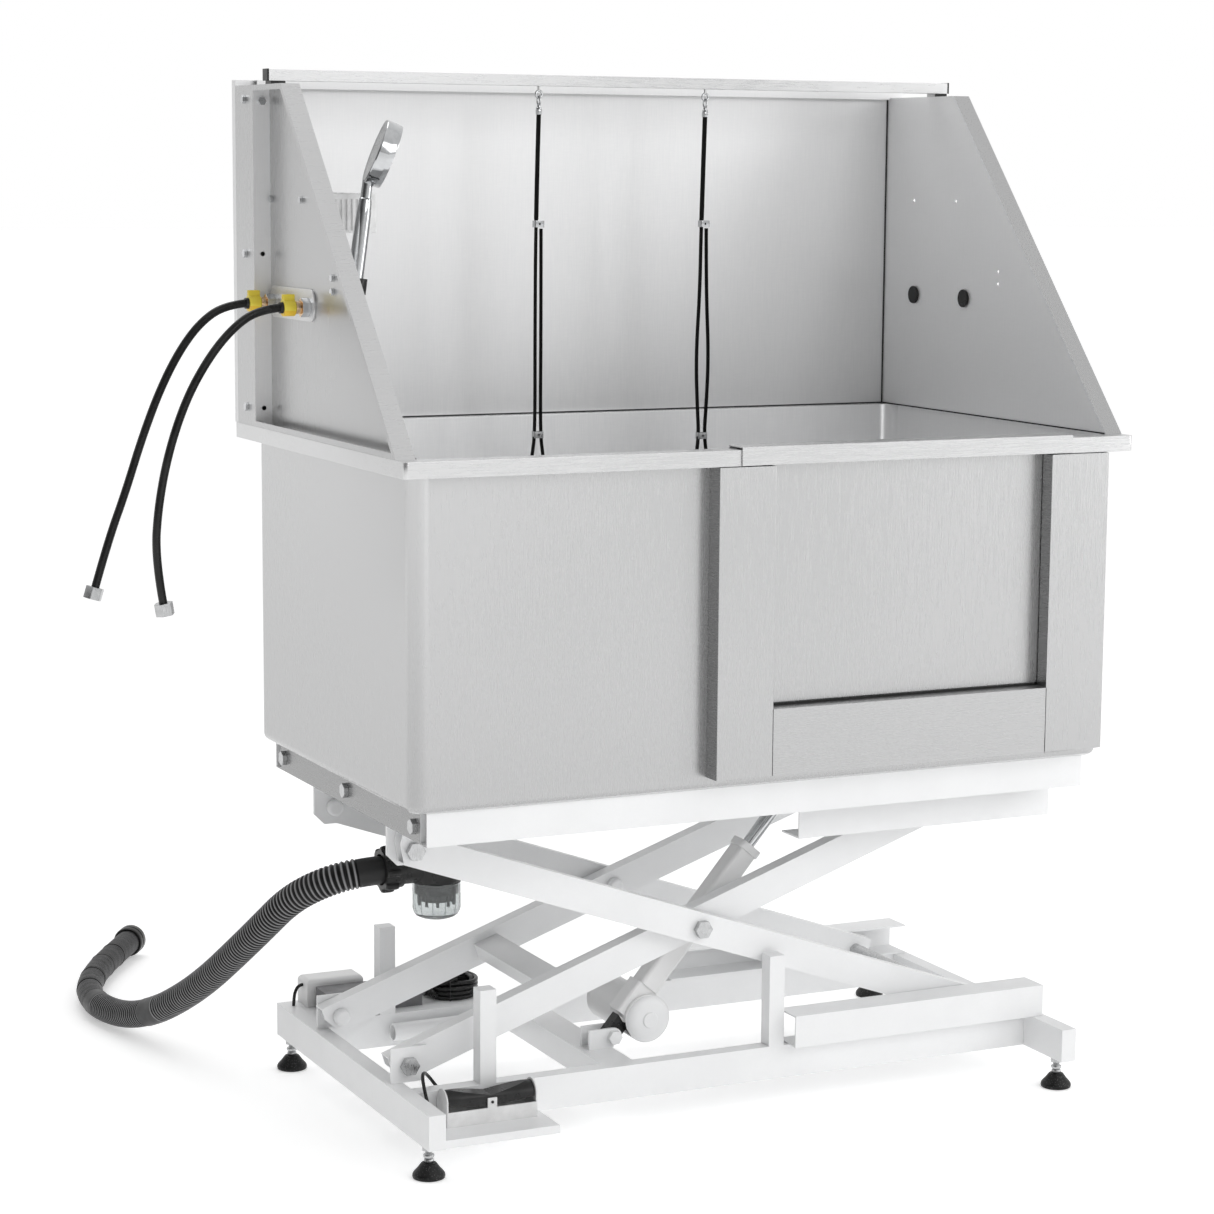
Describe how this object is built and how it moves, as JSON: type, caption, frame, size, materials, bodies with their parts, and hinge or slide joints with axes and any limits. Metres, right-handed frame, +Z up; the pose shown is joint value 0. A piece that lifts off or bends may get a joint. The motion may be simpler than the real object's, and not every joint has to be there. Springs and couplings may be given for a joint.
{
  "type": "pet bathtub",
  "caption": "Electric scissor-lift pet grooming bathtub in stainless steel, with splash panels, lift-out door, hand shower, leash loops, drain hose and foot pedal.",
  "frame": {"origin": "on the floor, below the middle of the object without its hoses and leads", "axes": "+X along the tub to the end away from the drain, +Y to the back, +Z up"},
  "size_m": [1.418, 1.4017, 1.513],
  "materials": {
    "frame_paint": "white powder coat",
    "stainless": "brushed stainless steel sheet",
    "zinc": "zinc-plated fasteners",
    "chrome": "polished chrome",
    "brass": "brass hose fittings",
    "black_rubber": "black rubber",
    "black_plastic": "black moulded plastic",
    "grey_plastic": "dark grey moulded plastic",
    "light_plastic": "light grey moulded plastic",
    "white_plastic": "white moulded plastic",
    "yellow_plastic": "yellow moulded plastic",
    "clear_plastic": "clear moulded plastic",
    "webbing": "black webbing"
  },
  "bodies": {
    "base": {"base_frame": "frame_paint", "lower_channels": "frame_paint", "base_pivot_bolts": "zinc", "pedal_base": "light_plastic", "foot_lock_nuts": "zinc", "control_box": "grey_plastic", "power_unit": "light_plastic", "mains_lead": "black_rubber", "mains_lead_coil": "black_rubber", "mains_plug": "black_plastic", "pedal_cable": "black_rubber", "power_cable": "black_rubber"},
    "inner_arms": {"inner_arms": "frame_paint", "upper_axle": "zinc"},
    "outer_arms": {"outer_arms": "frame_paint", "outer_arm_bolts": "zinc", "lower_axle": "zinc"},
    "lower_rollers": {"lower_rollers": "black_plastic"},
    "upper_rollers": {"upper_rollers": "black_plastic"},
    "actuator": {"actuator_motor": "light_plastic", "gear_housing": "light_plastic", "actuator_tube": "light_plastic"},
    "actuator_rod": {"actuator_rod": "chrome"},
    "platform": {"top_frame": "frame_paint", "upper_channels": "frame_paint", "tub_basin": "stainless", "drain_strainer": "stainless", "door_frame": "stainless", "door_seal": "black_rubber", "left_panel": "stainless", "right_panel": "stainless", "back_panel": "stainless", "top_rail": "stainless", "platform_bolts": "zinc", "hole_plugs": "black_rubber", "hair_trap_body": "black_plastic", "drain_union_nut": "black_plastic", "drain_hose": "black_plastic", "drain_hose_cuff": "black_plastic", "mixer_body": "chrome", "inlet_fittings": "chrome", "hose_clips": "yellow_plastic", "supply_hose_front": "black_rubber", "supply_hose_back": "black_rubber", "supply_nuts": "chrome", "shower_holder": "black_plastic", "shower_caddy": "white_plastic"},
    "door": {"door_panel": "stainless"},
    "hair_trap_bowl": {"hair_trap_bowl": "clear_plastic"},
    "mixer_lever": {"mixer_lever": "chrome"},
    "hand_shower": {"hand_shower": "chrome"},
    "loop_left": {"loop_left_fittings": "chrome", "loop_left_strap": "webbing"},
    "loop_right": {"loop_right_fittings": "chrome", "loop_right_strap": "webbing"},
    "pedal_rocker": {"pedal_rocker": "black_plastic"},
    "foot_front_left": {"foot_front_left": "black_rubber"},
    "foot_front_right": {"foot_front_right": "black_rubber"},
    "foot_back_left": {"foot_back_left": "black_rubber"},
    "foot_back_right": {"foot_back_right": "black_rubber"}
  },
  "joints": [
    {"name": "lift", "type": "hinge", "parent": "base", "child": "inner_arms", "pos_m": [-0.491, 0, 0.121], "axis": [0, -1, 0], "range_deg": [-12, 7]},
    {"name": "scissor_centre", "type": "hinge", "parent": "inner_arms", "child": "outer_arms", "pos_m": [-0.041, 0, 0.278], "axis": [0, -1, 0], "range_deg": [-14.5, 24.5]},
    {"name": "platform_pivot", "type": "hinge", "parent": "outer_arms", "child": "platform", "pos_m": [-0.491, 0, 0.435], "axis": [0, -1, 0], "range_deg": [-12.5, 7.5]},
    {"name": "lower_rollers", "type": "hinge", "parent": "outer_arms", "child": "lower_rollers", "pos_m": [0.409, 0, 0.121], "axis": [0, 1, 0], "continuous": true},
    {"name": "upper_rollers", "type": "hinge", "parent": "inner_arms", "child": "upper_rollers", "pos_m": [0.409, 0, 0.435], "axis": [0, 1, 0], "continuous": true},
    {"name": "actuator_tilt", "type": "hinge", "parent": "base", "child": "actuator", "pos_m": [-0.146, -0.085, 0.108], "axis": [0, -1, 0], "range_deg": [-17.8, 10.5]},
    {"name": "actuator_stroke", "type": "slide", "parent": "actuator", "child": "actuator_rod", "axis": [0.6494, 0, 0.7604], "range_m": [-0.1302, 0.0762]},
    {"name": "door_lift", "type": "slide", "parent": "platform", "child": "door", "axis": [0, 0, 1], "range_m": [0, 0.36]},
    {"name": "bowl_twist", "type": "hinge", "parent": "platform", "child": "hair_trap_bowl", "pos_m": [-0.387, 0, 0.32], "axis": [0, 0, 1], "range_deg": [0, 90]},
    {"name": "mixer_lever_turn", "type": "hinge", "parent": "platform", "child": "mixer_lever", "pos_m": [-0.48, 0.1575, 1.176], "axis": [1, 0, 0], "range_deg": [-50, 50]},
    {"name": "shower_lift_off", "type": "slide", "parent": "platform", "child": "hand_shower", "axis": [0.1392, 0, 0.9903], "range_m": [0, 0.15]},
    {"name": "loop_left_swing", "type": "hinge", "parent": "platform", "child": "loop_left", "pos_m": [-0.14, 0.196, 1.4826], "axis": [1, 0, 0], "range_deg": [-10, 9]},
    {"name": "loop_right_swing", "type": "hinge", "parent": "platform", "child": "loop_right", "pos_m": [0.14, 0.196, 1.4826], "axis": [1, 0, 0], "range_deg": [-10, 9]},
    {"name": "pedal_rock", "type": "hinge", "parent": "base", "child": "pedal_rocker", "pos_m": [-0.4035, -0.229, 0.084], "axis": [0, 1, 0], "range_deg": [-3, 3], "stiffness_Nm_per_rad": 2},
    {"name": "foot_front_left_screw", "type": "slide", "parent": "base", "child": "foot_front_left", "axis": [0, 0, 1], "range_m": [-0.008, 0.005]},
    {"name": "foot_front_right_screw", "type": "slide", "parent": "base", "child": "foot_front_right", "axis": [0, 0, 1], "range_m": [-0.008, 0.005]},
    {"name": "foot_back_left_screw", "type": "slide", "parent": "base", "child": "foot_back_left", "axis": [0, 0, 1], "range_m": [-0.008, 0.005]},
    {"name": "foot_back_right_screw", "type": "slide", "parent": "base", "child": "foot_back_right", "axis": [0, 0, 1], "range_m": [-0.008, 0.005]}
  ],
  "couplings": [
    {"joint": "scissor_centre", "follows": "lift", "ratio": -2},
    {"joint": "platform_pivot", "follows": "lift", "ratio": 1},
    {"joint": "actuator_tilt", "follows": "lift", "ratio": 1.45},
    {"joint": "actuator_stroke", "follows": "lift", "m_per_rad": 0.61879}
  ]
}
